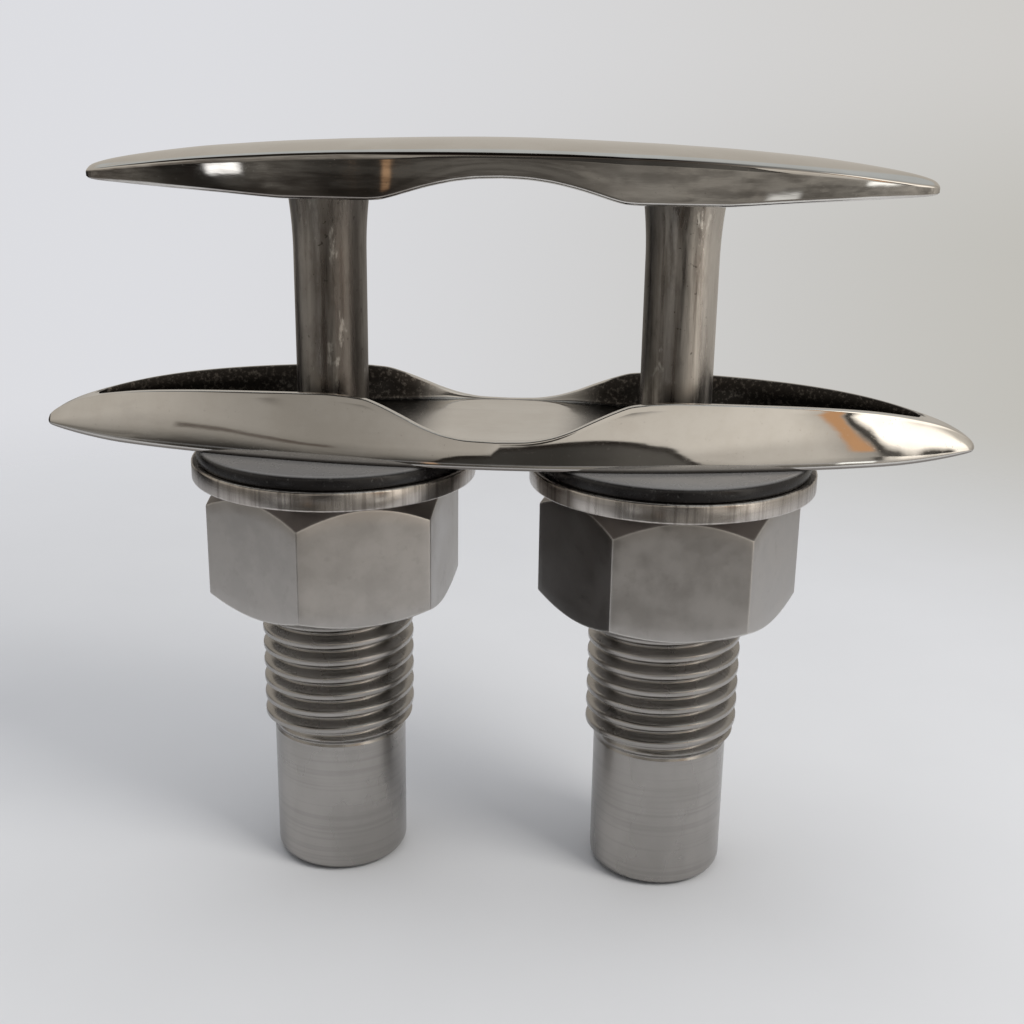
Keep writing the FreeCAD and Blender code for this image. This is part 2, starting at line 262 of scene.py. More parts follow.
def arc_points(a, b, c, steps):
    """Points on the circle through a, b and c, from a to c, without the last."""
    (ax, ay), (bx, by), (cx, cy) = a, b, c
    d = 2 * (ax * (by - cy) + bx * (cy - ay) + cx * (ay - by))
    if abs(d) < 1e-9:
        return [(ax + (cx - ax) * i / steps, ay + (cy - ay) * i / steps) for i in range(steps)]
    aa = ax * ax + ay * ay
    bb = bx * bx + by * by
    cc = cx * cx + cy * cy
    ux = (aa * (by - cy) + bb * (cy - ay) + cc * (ay - by)) / d
    uy = (aa * (cx - bx) + bb * (ax - cx) + cc * (bx - ax)) / d
    r = math.hypot(ax - ux, ay - uy)
    t0, t1, t2 = (math.atan2(py - uy, px - ux) for px, py in (a, b, c))
    full = 2 * math.pi
    if (t1 - t0) % full <= (t2 - t0) % full:
        sweep = (t2 - t0) % full
    else:
        sweep = -((t0 - t2) % full)
    return [(ux + r * math.cos(t0 + sweep * i / steps), uy + r * math.sin(t0 + sweep * i / steps))
            for i in range(steps)]


def horn_slice(half, low, shoulder, crown):
    """One closed slice across the horn, as (across, height) points."""
    height = shoulder - low
    lower = min(HORN_LOWER_ROUND, 0.22 * height)
    upper = min(HORN_UPPER_ROUND, 0.2 * height)
    undercut = min(HORN_UNDERCUT * height, 0.3 * half)
    bend = 1.0 - math.sqrt(0.5)
    foot = half - undercut
    top = (half - upper, shoulder + 0.1 * (crown - shoulder))
    side_low = (foot, low + lower)
    side_high = (half, shoulder - upper)
    right = [((foot - lower, low), (foot - lower * bend, low + lower * bend), side_low, 5),
             (side_low, (half - 0.42 * undercut, low + 0.55 * height), side_high, 8),
             (side_high, (half - upper * bend, shoulder - upper * bend), top, 6)]
    points = [((foot - lower) * (i / 4 - 1), low) for i in range(8)]
    for a, b, c, steps in right:
        points += arc_points(a, b, c, steps)
    points += arc_points(top, (0, crown), (-top[0], top[1]), 24)
    for a, b, c, steps in reversed(right):
        points += arc_points((-c[0], c[1]), (-b[0], b[1]), (-a[0], a[1]), steps)
    return points


def build_horn():
    at = [smooth_curve([(s[0], s[k]) for s in HORN]) for k in range(1, 5)]
    end = span("horn_bar").x / 2
    stations = []
    for i in range(-HORN_HALF_SLICES, HORN_HALF_SLICES + 1):
        share = i / HORN_HALF_SLICES
        stations.append(end * math.sin(share * math.pi / 2) * 0.35 + end * share * 0.65)
    verts = []
    for x in stations:
        slice_points = horn_slice(*(f(abs(x)) for f in at))
        verts += [(x, y, z) for y, z in slice_points]
    count = len(slice_points)
    faces = grid_faces(len(stations), count, True)
    last = (len(stations) - 1) * count
    faces.append(tuple(range(count)))
    faces.append(tuple(range(last, last + count)))
    under, top = HORN_UNDERSIDE - 1, HORN_UNDERSIDE + SPIGOT_LENGTH + GAP
    socket = [(0.0, under), (SPIGOT_R + GAP, under), (SPIGOT_R + GAP, top), (0.0, top)]
    return make_piece("horn_bar_shape", verts, faces, "horn_bar", 40, socket)


# ---------------------------------------------------------------- base

# distance from the middle, half width at the deck and at the rim, rim height
BASE = [
    (0.0, 18.6, 14.6, 12.2), (10.0, 18.4, 14.5, 12.2), (20.0, 17.9, 14.25, 12.15),
    (30.0, 16.9, 13.8, 12.0), (38.0, 15.7, 13.2, 11.85), (46.0, 14.2, 12.2, 11.6),
    (54.0, 12.4, 10.75, 11.2), (61.0, 10.6, 9.1, 10.65), (67.0, 8.75, 7.25, 9.95),
    (72.0, 6.95, 5.45, 9.1), (77.0, 5.05, 3.6, 7.95), (81.0, 3.6, 2.3, 6.75),
    (84.0, 2.5, 1.45, 5.4), (86.0, 1.65, 0.9, 4.1), (87.2, 0.85, 0.4, 2.95),
]
# distance from the middle, height of the saddle between the posts
VALLEY = [
    (0.0, 5.1), (5.0, 5.25), (9.0, 5.85), (13.0, 7.1), (17.0, 8.85),
    (21.0, 10.5), (24.0, 11.5), (27.0, 12.05), (30.0, 12.6), (40.0, 14.0),
]
# distance from the middle, half width of the pocket
POCKET = [
    (0.0, 16.5), (7.0, 16.3), (12.0, 15.65), (17.0, 14.6), (22.0, 13.5), (27.0, 12.85),
    (32.0, 12.45), (38.0, 11.9), (46.0, 10.9), (54.0, 9.45), (61.0, 7.8), (67.0, 5.95),
    (71.5, 4.4), (75.0, 2.65), (76.2, 1.75), (76.9, 0.0),
]
POCKET_END = POCKET[-1][0]
FLOOR_Z = 5.0
BULGE_POWER = 1.9
TIP_START, TIP_RISE = 70.0, 1.68     # the underside lifts from here to the ends
NOSE = 0.8                           # length of the rounded end


SADDLE_END = 40.0                    # the saddle only matters nearer the middle than this
BASE_LOWER_ROUND = 0.9
BASE_EDGE_ROUND = 0.35
POCKET_LIP = 0.25
POCKET_FOOT_ROUND = 0.8
deck_half, rim_half, rim_height = (smooth_curve([(s[0], s[k]) for s in BASE]) for k in (1, 2, 3))
saddle_height = smooth_curve(VALLEY)
pocket_half = smooth_curve(POCKET)


def base_stations():
    """Places along the base for its slices, closer together towards the ends and the pocket's ends."""
    end = BASE[-1][0]
    stations = [end * (0.6 * i / 130 + 0.4 * math.sin(i / 130 * math.pi / 2)) for i in range(131)]
    stations += [POCKET_END - d for d in (0.02, 0.1, 0.25, 0.5, 0.8, 1.2)] + [POCKET_END + 0.02]
    stations += [end - NOSE * d for d in (1.0, 0.8, 0.6, 0.42, 0.28, 0.16, 0.07, 0.02)]
    return sorted(set(-x for x in stations) | set(stations))


def base_side(a, low, high, edge):
    """The outside of a slice at distance a from the middle, from the underside to the rim."""
    deck, full_top = deck_half(a), rim_height(a)
    round_steps, side_steps, edge_steps = 4, 14, 4

    def half_at(z):
        share = max(0.0, (z - low) / (full_top - low))
        return deck - (deck - rim_half(a)) * share ** BULGE_POWER
    points = [(deck * 0.5, 0.0), (deck - 0.7 * low, 0.0)]
    for i in range(1, round_steps):
        t = math.pi / 2 * i / round_steps
        points.append((deck - 0.7 * low * (1 - math.sin(t)), low * (1 - math.cos(t))))
    for i in range(side_steps + 1):
        z = low + (high - edge - low) * i / side_steps
        points.append((half_at(z), z))
    wall_top = points[-1]
    for i in range(1, edge_steps):
        t = math.pi / 2 * i / edge_steps
        points.append((wall_top[0] - edge * (1 - math.cos(t)), wall_top[1] + edge * math.sin(t)))
    points.append((wall_top[0] - edge, high))
    return points


def pocket_side(inner, outer, high):
    """The inside of a slice, from the rim down the pocket's wall and along its floor."""
    depth = high - FLOOR_Z
    lip = min(POCKET_LIP, 0.3 * depth, 0.3 * (outer - inner))
    foot = min(POCKET_FOOT_ROUND, 0.45 * depth, 0.4 * inner)
    points = [(inner + lip, high), (inner + 0.3 * lip, high - 0.3 * lip), (inner, high - lip),
              (inner, (high + FLOOR_Z) / 2)]
    for i in range(5):
        t = math.pi / 2 * i / 4
        points.append((inner - foot * (1 - math.cos(t)), FLOOR_Z + foot * (1 - math.sin(t))))
    return points + [(inner * 0.5, FLOOR_Z)]


def base_slice(x):
    """One closed slice across the base."""
    a = abs(x)
    end = BASE[-1][0]
    full_top = rim_height(a)
    low = min(BASE_LOWER_ROUND, 0.25 * full_top)
    high, soft = full_top, 0.0
    if a < SADDLE_END:
        high = min(full_top, saddle_height(a))
        soft = 0.25 * math.exp(-((full_top - saddle_height(a)) / 0.5) ** 2)
    high -= soft
    share = max(0.0, (high - low) / (full_top - low))
    outer = deck_half(a) - (deck_half(a) - rim_half(a)) * share ** BULGE_POWER
    inner = pocket_half(a) if a < POCKET_END else 0.0
    edge = min(BASE_EDGE_ROUND, 0.3 * (outer - inner), 0.3 * outer)
    half = base_side(a, low, high, edge)
    if inner > 0.0:
        half += pocket_side(inner, outer, high)
    else:
        y = half[-1][0]
        half += [(y * (1 - i / 10), high) for i in range(1, 11)]
    lift = TIP_RISE * (max(0.0, a - TIP_START) / (end - TIP_START)) ** 2
    half = [(y, z + lift * (1 - z / full_top)) for y, z in half]
    along = max(0.0, (a - end + NOSE) / NOSE)
    shrink = math.sqrt(1 - 0.96 * along ** 2)
    centre = (lift + full_top) / 2
    half = [(y * shrink, centre + (z - centre) * shrink) for y, z in half]
    return [(x, y, z) for y, z in half] + [(x, -y, z) for y, z in reversed(half)]


def mark_dull_and_shaded(piece):
    """Mark the points left rough and darkened with painted shade: the pocket, and the rim's land behind it.
    """
    dull_and_shaded = piece.data.attributes.new("dull_and_shaded", "FLOAT", "POINT")
    for vertex, value in zip(piece.data.vertices, dull_and_shaded.data):
        x, y, z = vertex.co / MM
        a = abs(x)
        within = a < POCKET_END and abs(y) < pocket_half(a) + 0.02 and z < rim_height(a) - 0.3
        land_width = (pocket_half(min(a, POCKET_END)) + 2 * rim_half(a)) / 3
        land = a < POCKET_END + 1 and 0 < y < land_width and z > 2.0
        # how strongly the rougher finish and the painted shade apply, growing away from the middle
        value.value = ease(9.0, 19.0, a) if within or land else 0.0


def build_base():
    stations = base_stations()
    slices = [base_slice(x) for x in stations]
    count = len(slices[0])
    faces = grid_faces(len(stations), count, True)
    last = (len(stations) - 1) * count
    faces.append(tuple(range(count)))
    faces.append(tuple(range(last, last + count)))
    hole = [(0.0, -1.0), (NECK_R + GAP, -1.0), (NECK_R + GAP, NECK_TOP), (BORE_R + GAP, NECK_TOP),
            (BORE_R + GAP, FLANGE_Z), (FLANGE_R + GAP, FLANGE_Z),
            (FLANGE_R + GAP, FLOOR_Z + 1), (0.0, FLOOR_Z + 1)]
    piece = make_piece("base_plate_shape", [v for one in slices for v in one], faces, "base_plate", 35, hole)
    mark_dull_and_shaded(piece)
    return piece


# ---------------------------------------------------------------- turned and threaded pieces

PITCH = 3.5
CREST_R = 14.75
ROOT_R = 12.7
THREAD_BOTTOM = -57.5
BARREL_R = 13.0
BARREL_BORE_BOTTOM = -74.05
DRILL_POINT = 3.8                    # depth of the cone that the drill leaves below the bore


def thread_radius(phase):
    """Radius across one pitch of the thread, with rounded crests and roots."""
    p = abs((phase % 1.0) - 0.5) * 2
    lift = 1 - ease(0.22, 0.86, p)
    return ROOT_R + (CREST_R - ROOT_R) * lift


def build_barrel(side):
    """A barrel with a helical thread that fades out at both of its ends."""
    node = "barrel_" + side
    x = AXIS_X[side]
    low, high = (v.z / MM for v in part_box(node))
    columns, per_pitch = 120, 14
    start = THREAD_BOTTOM - PITCH * 1.2
    rows = int((0 - start) / PITCH * per_pitch) + per_pitch + 2
    verts = []
    for i in range(rows):
        for j in range(columns):
            turn = j / columns
            z = start + (i / per_pitch + turn - 1) * PITCH
            phase = i / per_pitch
            zc = min(max(z, THREAD_BOTTOM - 0.2), 0.0)
            fade = ease(THREAD_BOTTOM - 0.1, THREAD_BOTTOM + 2.2, z) * (1 - ease(-0.6, -0.1, z))
            r = ROOT_R + (thread_radius(phase) - ROOT_R) * fade
            t = 2 * math.pi * turn
            verts.append((x + r * math.cos(t), r * math.sin(t), zc))
    faces = []
    for i in range(rows - 1):
        for j in range(columns - 1):
            a = i * columns + j
            faces.append((a, a + 1, a + columns + 1, a + columns))
    for i in range(rows - 1 - per_pitch):
        a = i * columns + columns - 1
        b = (i + per_pitch) * columns
        faces.append((a, b, b + columns, a + columns))
    outline = [(ROOT_R, THREAD_BOTTOM - 0.2), (BARREL_R, THREAD_BOTTOM - 0.5), (BARREL_R, low), (0.0, low)]
    skin = rounded(outline, {2: 2.5}, 8)
    step = skin[1][1]
    # rings close below the step keep its shading from spreading down the plain part
    skin = skin[:2] + [(BARREL_R, step - d) for d in (0.12, 0.4, 1.5)] + [(BARREL_R, -74.0)] + skin[2:]
    inner = [(0.0, BARREL_BORE_BOTTOM - DRILL_POINT), (BORE_R, BARREL_BORE_BOTTOM), (BORE_R, high),
             (NECK_R, high), (NECK_R, 0.0), (ROOT_R, 0.0)]
    for profile in (skin, inner):
        more, more_faces = lathe(profile, x, columns)
        base = len(verts)
        verts += more
        faces += [tuple(k + base for k in f) for f in more_faces]
    return make_piece(node + "_shape", verts, faces, node, 50)


POST_FLARE = 0.65                    # how much wider the post is where it meets the horn
POST_FLARE_HEIGHT = 10.0
POST_TAIL_R = 4.5
POST_TAIL_TOP = -16.05
POST_BOTTOM = -26.05


def build_post(side):
    top = HORN_UNDERSIDE
    flare = []
    for i in range(13):
        share = 1 - i / 12
        flare.append((POST_R + POST_FLARE * share ** 2, top - POST_FLARE_HEIGHT * (1 - share)))
    spigot = [(0.0, top + SPIGOT_LENGTH), (SPIGOT_R, top + SPIGOT_LENGTH), (SPIGOT_R, top)]
    shaft = [(POST_R, z) for z in (24.0, 12.0, 0.0, POST_TAIL_TOP)]
    tail = [(POST_TAIL_R, POST_TAIL_TOP), (POST_TAIL_R, POST_BOTTOM), (0.0, POST_BOTTOM)]
    return turned_piece("post_" + side, spigot + flare + shaft + tail, {}, 128)


def build_rubber_washer(side):
    r = 25.8
    low = -RUBBER_HEIGHT
    outline = [(WASHER_BORE_R, low), (r, low), (r, 0.0), (WASHER_BORE_R, 0.0)]
    return turned_piece("rubber_washer_" + side, outline, {1: 0.3, 2: 0.85}, 160)


def build_steel_washer(side):
    high = -RUBBER_HEIGHT
    low = high - STEEL_HEIGHT
    r = span("steel_washer_" + side).y / 2
    outline = [(WASHER_BORE_R, low), (r, low), (r, high), (WASHER_BORE_R, high)]
    return turned_piece("steel_washer_" + side, outline, {1: 0.4, 2: 0.45}, 160)


NUT_TURN = {"left": 24.0, "right": 4.0}    # degrees, as the two nuts stand in the rest position


def build_nut(side):
    """Hexagon with softened corners, cut by a cone on the washer side."""
    node = "hex_nut_" + side
    x = AXIS_X[side]
    low, high = (v.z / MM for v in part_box(node))
    high -= 0.02                        # just clear of the washer, so that the faces don't fight
    apothem = 21.5
    turn = math.radians(NUT_TURN[side])
    round_r = 0.45
    outline = []
    for k in range(6):
        face = turn + math.radians(60 * k + 30)
        n = Vector((math.cos(face), math.sin(face)))
        u = Vector((-n.y, n.x))
        reach = apothem * math.tan(math.radians(30)) - round_r * math.tan(math.radians(30))
        for i in range(17):
            p = n * apothem + u * (-reach + 2 * reach * i / 16)
            outline.append((p.x, p.y))
        centre = n * (apothem - round_r) + u * reach
        for i in range(1, 4):
            t = face + math.radians(60 * i / 4)
            outline.append((centre.x + round_r * math.cos(t), centre.y + round_r * math.sin(t)))
    top_r, top_slope = 19.75, 0.89
    low_r, low_slope = 21.2, 0.577
    mouth_r, mouth_depth = 15.6, 0.6
    soft = 0.22
    rings = []

    def ring(radius_of, z_of):
        rings.append([(x + px * radius_of(px, py), py * radius_of(px, py), z_of(px, py))
                      for px, py in outline])

    def ceiling(px, py):
        return high - max(0.0, math.hypot(px, py) - top_r) * top_slope

    def ground(px, py):
        return low + max(0.0, math.hypot(px, py) - low_r) * low_slope

    def to(r):
        return lambda px, py: r / math.hypot(px, py)

    def flat(z):
        return lambda px, py: z

    def cone(r, edge, z, share):
        ring(lambda px, py: 1 - share * (1 - r / math.hypot(px, py)),
             lambda px, py: edge(px, py) + share * (z - edge(px, py)))
    ring(to(WASHER_BORE_R), flat(low + mouth_depth))
    ring(to(mouth_r), flat(low))
    ring(to(low_r), flat(low))
    cone(low_r, ground, low, 0.5)
    ring(lambda px, py: 1 - 0.25 * soft / math.hypot(px, py), ground)
    for i in range(9):
        ring(lambda px, py: 1.0, lambda px, py, s=i / 8: (ground(px, py) + soft
             + (ceiling(px, py) - ground(px, py) - 2 * soft) * s))
    ring(lambda px, py: 1 - 0.25 * soft / math.hypot(px, py), ceiling)
    for share in (0.33, 0.66):
        cone(top_r, ceiling, high, share)
    ring(to(top_r), flat(high))
    ring(to(mouth_r), flat(high))
    ring(to(WASHER_BORE_R), flat(high - mouth_depth))
    verts = [v for r in rings + rings[:1] for v in r]
    faces = grid_faces(len(rings) + 1, len(outline), True)
    return make_piece(node + "_shape", verts, faces, node, 28)


# ---------------------------------------------------------------- materials

class Nodes:
    """Short names for the shader nodes used below."""

    def __init__(self, tree):
        self.tree = tree
        tree.nodes.clear()

    def new(self, kind, **settings):
        node = self.tree.nodes.new(kind)
        for key, value in settings.items():
            setattr(node, key, value)
        return node

    def link(self, value, socket):
        if isinstance(value, bpy.types.NodeSocket):
            self.tree.links.new(value, socket)
        elif value is not None:
            socket.default_value = value

    def math(self, operation, a, b=None):
        node = self.new("ShaderNodeMath", operation=operation)
        for i, value in enumerate((a, b)):
            if value is not None:
                self.link(value, node.inputs[i])
        return node.outputs[0]

    def remap(self, value, a, b, c, d):
        """Carry the value from the range a to b over to the range c to d, smoothly."""
        node = self.new("ShaderNodeMapRange", interpolation_type="SMOOTHSTEP")
        self.link(value, node.inputs["Value"])
        for key, number in (("From Min", a), ("From Max", b), ("To Min", c), ("To Max", d)):
            self.link(number, node.inputs[key])
        return node.outputs[0]

    def mix(self, share, a, b):
        node = self.new("ShaderNodeMix", data_type="RGBA")
        self.link(share, node.inputs[0])
        self.link(rgba(a), node.inputs[6])
        self.link(rgba(b), node.inputs[7])
        return node.outputs[2]

    def noise(self, coords, scale, detail, rough, stretch=(1, 1, 1)):
        shift = self.new("ShaderNodeMapping")
        self.link(coords, shift.inputs["Vector"])
        self.link(stretch, shift.inputs["Scale"])
        node = self.new("ShaderNodeTexNoise")
        self.link(shift.outputs[0], node.inputs["Vector"])
        self.link(scale, node.inputs["Scale"])
        self.link(detail, node.inputs["Detail"])
        self.link(rough, node.inputs["Roughness"])
        return node.outputs["Fac"]

    def split(self, vector):
        """The X, Y and Z of a vector."""
        node = self.new("ShaderNodeSeparateXYZ")
        self.link(vector, node.inputs[0])
        return node.outputs["X"], node.outputs["Y"], node.outputs["Z"]

    def bump(self, height, distance, strength, normal=None):
        node = self.new("ShaderNodeBump")
        self.link(height, node.inputs["Height"])
        self.link(distance, node.inputs["Distance"])
        self.link(strength, node.inputs["Strength"])
        if normal is not None:
            self.link(normal, node.inputs["Normal"])
        return node.outputs[0]


def rgba(value):
    if isinstance(value, tuple) and len(value) == 3:
        return value + (1.0,)
    return value


def start_material(name):
    material = bpy.data.materials.new(name)
    material.use_nodes = True
    n = Nodes(material.node_tree)
    coords = n.new("ShaderNodeTexCoord").outputs["Object"]
    shader = n.new("ShaderNodeBsdfPrincipled")
    out = n.new("ShaderNodeOutputMaterial")
    n.link(shader.outputs[0], out.inputs["Surface"])
    return material, n, coords, shader


def make_metal(n, shader, colour, rough, normal):
    n.link(colour, shader.inputs["Base Color"])
    n.link(1.0, shader.inputs["Metallic"])
    n.link(rough, shader.inputs["Roughness"])
    n.link(normal, shader.inputs["Normal"])


def horn_painted_shading(n, colour, coords, up):
    """Painted dark reflections in patches on the horn's upright sides, and a painted shade line under the
    edge of its crown.
    """
    x = n.split(coords)[0]
    # painted dark reflections: streaky patches darkening the upright sides, more towards the left end
    dark_reflection = n.remap(n.noise(coords, 60.0, 5.0, 0.7, (0.35, 1, 2.4)), 0.40, 0.60, 0.0, 1.0)
    dark_reflection = n.math("MULTIPLY", dark_reflection, n.remap(x, -0.015, 0.02, 0.8, 0.3))
    dark_reflection = n.math("MULTIPLY", dark_reflection, n.remap(up, 0.35, 0.15, 0.0, 1.0))
    colour = n.mix(dark_reflection, colour, (0.20, 0.17, 0.15))
    # painted shade: a dark line just under the crown's edge, along the middle of the horn
    line = n.math("MULTIPLY", n.remap(up, 0.05, 0.2, 0.0, 1.0), n.remap(up, 0.7, 0.5, 0.0, 1.0))
    middle_part = n.math("MULTIPLY", n.remap(x, -0.03, -0.015, 0.0, 1.0),
                         n.remap(x, 0.07, 0.03, 0.2, 1.0))
    return n.mix(n.math("MULTIPLY", line, middle_part), colour, (0.10, 0.085, 0.075))


def base_shade_and_finish(n, colour, rough, coords, up):
    """Painted shade on the lower rounding, and the rough, speckled finish of the pocket, darkened with
    painted shade.
    """
    # painted shade on the lower rounding, where the surface turns downwards
    colour = n.mix(n.remap(up, -0.1, -0.4, 0.0, 0.8), colour, (0.12, 0.10, 0.085))
    # the pocket and the rim's land behind it: a rougher finish, and painted shade in the near-black colour
    dull_and_shade = n.new("ShaderNodeAttribute", attribute_name="dull_and_shaded").outputs["Fac"]
    speckle = n.remap(n.noise(coords, 1300.0, 3.0, 0.7), 0.5, 0.68, 0.0, 1.0)
    dark = n.mix(speckle, (0.045, 0.04, 0.036), (0.17, 0.155, 0.14))
    return n.mix(dull_and_shade, colour, dark), n.math("ADD", rough, n.math("MULTIPLY", dull_and_shade, 0.3))


def polished_steel(name, pocket):
    """Mirror polish with faint waviness and pits; the inside of the pocket is left rough and darkened with
    painted shade.
    """
    material, n, coords, shader = start_material(name)
    haze = n.noise(coords, 90.0, 4.0, 0.6)
    broad = n.noise(coords, 26.0, 2.0, 0.5)
    grain = n.noise(coords, 900.0, 2.0, 0.6, (0.25, 1, 1))
    streak = n.noise(coords, 240.0, 3.0, 0.6, (0.12, 1, 1))
    pits = n.remap(n.noise(coords, 2600.0, 2.0, 0.7), 0.70, 0.78, 0.0, 1.0)
    colour = n.mix(n.remap(haze, 0.35, 0.65, 0.0, 1.0), (0.67, 0.645, 0.61), (0.72, 0.70, 0.67))
    colour = n.mix(n.remap(streak, 0.5, 0.75, 0.0, 0.25), colour, (0.50, 0.48, 0.46))
    colour = n.mix(n.math("MULTIPLY", pits, 0.5), colour, (0.25, 0.23, 0.21))
    rough = n.math("ADD", n.remap(haze, 0.3, 0.7, 0.025, 0.06), n.math("MULTIPLY", grain, 0.02))
    up = n.split(n.new("ShaderNodeTexCoord").outputs["Normal"])[2]
    if pocket:
        colour, rough = base_shade_and_finish(n, colour, rough, coords, up)
    else:
        colour = horn_painted_shading(n, colour, coords, up)
    wave = n.bump(broad, 0.0003, 0.5)
    fine = n.bump(grain, 0.000006, 0.5, wave)
    make_metal(n, shader, colour, rough, n.bump(pits, -0.00001, 0.6, fine))
    return material


def cast_post_steel(side):
    """Satin bar with grinding streaks down its length, darker blotches, dots, painted highlight dashes, and
    painted shade and highlight on its two sides.
    """
    material, n, coords, shader = start_material("satin_post_stainless_" + side)
    streak = n.noise(coords, 520.0, 4.0, 0.65, (1, 1, 0.05))
    wide = n.noise(coords, 170.0, 2.0, 0.5, (1, 1, 0.10))
    blotch = n.noise(coords, 230.0, 5.0, 0.7, (1, 1, 0.45))
    dots = n.remap(n.noise(coords, 950.0, 2.0, 0.6), 0.67, 0.73, 0.0, 1.0)
    highlight_dashes = n.remap(n.noise(coords, 420.0, 4.0, 0.7, (1, 1, 0.35)), 0.60, 0.72, 0.0, 1.0)
    colour = n.mix(n.remap(streak, 0.36, 0.64, 0.0, 1.0), (0.20, 0.18, 0.165), (0.56, 0.53, 0.49))
    colour = n.mix(n.remap(wide, 0.4, 0.65, 0.0, 0.7), colour, (0.22, 0.195, 0.175))
    colour = n.mix(n.remap(blotch, 0.45, 0.7, 0.0, 0.6), colour, (0.17, 0.145, 0.125))
    # painted highlights: short bright dashes
    colour = n.mix(n.math("MULTIPLY", highlight_dashes, 0.8), colour, (0.80, 0.77, 0.72))
    colour = n.mix(n.math("MULTIPLY", dots, 0.7), colour, (0.07, 0.06, 0.05))
    across = n.math("DIVIDE", n.math("SUBTRACT", n.split(coords)[0], AXIS_X[side] * MM), POST_R * MM)
    # painted shade on one side of each post and a painted highlight on the other
    if side == "left":
        colour = n.mix(n.remap(across, 0.0, 0.75, 0.0, 0.62), colour, (0.06, 0.055, 0.052))
        colour = n.mix(n.remap(across, -0.2, -0.8, 0.0, 0.35), colour, (0.70, 0.68, 0.66))
    else:
        colour = n.mix(n.remap(across, -0.2, -0.85, 0.0, 0.5), colour, (0.06, 0.055, 0.05))
        colour = n.mix(n.remap(across, 0.35, 0.85, 0.0, 0.6), colour, (0.90, 0.87, 0.83))
    uneven = n.bump(blotch, 0.00018, 0.5)
    make_metal(n, shader, colour, n.remap(streak, 0.3, 0.7, 0.22, 0.38),
               n.bump(streak, 0.00005, 0.6, uneven))
    return material


def turned_steel(name, dark, light, rough_low, rough_high, ring_depth, streaks=0.0):
    """Lathed steel with faint rings, painted shade in its hollows and, if asked for, upright streaks."""
    material, n, coords, shader = start_material(name)
    rings = n.noise(coords, 1500.0, 2.0, 0.5, (0.02, 0.02, 1))
    cloud = n.noise(coords, 110.0, 3.0, 0.5, (1, 1, 0.5))
    speck = n.remap(n.noise(coords, 2100.0, 2.0, 0.6), 0.70, 0.78, 0.0, 1.0)
    colour = n.mix(n.remap(cloud, 0.3, 0.7, 0.0, 1.0), dark, light)
    colour = n.mix(n.remap(rings, 0.45, 0.7, 0.0, 0.2), colour, tuple(0.6 * v for v in dark))
    colour = n.mix(n.math("MULTIPLY", speck, 0.3), colour, (0.2, 0.18, 0.16))
    if streaks:
        streak = n.noise(coords, 1100.0, 3.0, 0.65, (1, 1, 0.03))
        colour = n.mix(n.remap(streak, 0.42, 0.68, 0.0, streaks), colour, (0.20, 0.175, 0.155))
    # painted shade: darker where the surface is hemmed in, as in the thread's roots
    hollow_shade = n.new("ShaderNodeAmbientOcclusion", samples=4)
    n.link(0.0016, hollow_shade.inputs["Distance"])
    colour = n.mix(n.remap(hollow_shade.outputs["AO"], 0.25, 0.85, 0.75, 0.0), colour, (0.07, 0.06, 0.052))
    make_metal(n, shader, colour, n.remap(cloud, 0.3, 0.7, rough_low, rough_high),
               n.bump(rings, ring_depth, 0.6))
    return material


def nut_steel(side):
    """Brushed hexagon steel, with painted dark reflection on its coned faces and painted highlights along
    its edges; the right nut has one flat turned away from the light and darkened with painted shade.
    """
    material, n, coords, shader = start_material("nut_stainless_" + side)
    cloud = n.noise(coords, 140.0, 4.0, 0.6)
    mottle = n.noise(coords, 420.0, 3.0, 0.6)
    scratch = n.noise(coords, 700.0, 2.0, 0.5, (0.08, 0.08, 1))
    colour = n.mix(n.remap(cloud, 0.35, 0.65, 0.0, 1.0), (0.40, 0.38, 0.36), (0.46, 0.44, 0.42))
    colour = n.mix(n.remap(mottle, 0.55, 0.75, 0.0, 0.35), colour, (0.33, 0.31, 0.29))
    x, y, up = n.split(n.new("ShaderNodeTexCoord").outputs["Normal"])
    # painted dark reflection on the coned faces at the top and bottom
    chamfer = n.math("MULTIPLY", n.remap(up, 0.25, 0.45, 0.0, 0.75), n.remap(up, 0.98, 0.9, 0.0, 1.0))
    colour = n.mix(chamfer, colour, (0.12, 0.10, 0.09))
    if side == "right":
        # painted shade on the right nut's flat turned away from the light, towards the left barrel
        shaded_face = n.math("MULTIPLY", n.remap(x, -0.6, -0.8, 0.0, 1.0), n.remap(y, -0.2, -0.4, 0.0, 1.0))
        colour = n.mix(n.math("MULTIPLY", shaded_face, 0.72), colour, (0.03, 0.025, 0.024))
    # painted highlights along the edges, where the bevelled normal differs from the true one
    bevel = n.new("ShaderNodeBevel", samples=6)
    n.link(0.0006, bevel.inputs["Radius"])
    alike = n.new("ShaderNodeVectorMath", operation="DOT_PRODUCT")
    n.link(bevel.outputs["Normal"], alike.inputs[0])
    n.link(n.new("ShaderNodeNewGeometry").outputs["Normal"], alike.inputs[1])
    edge_highlight = n.remap(alike.outputs["Value"], 0.998, 0.95, 0.0, 0.7)
    colour = n.mix(edge_highlight, colour, (0.82, 0.80, 0.77))
    make_metal(n, shader, colour, n.remap(cloud, 0.3, 0.7, 0.32, 0.44),
               n.bump(scratch, 0.00001, 0.5, n.bump(mottle, 0.00003, 0.5)))
    return material


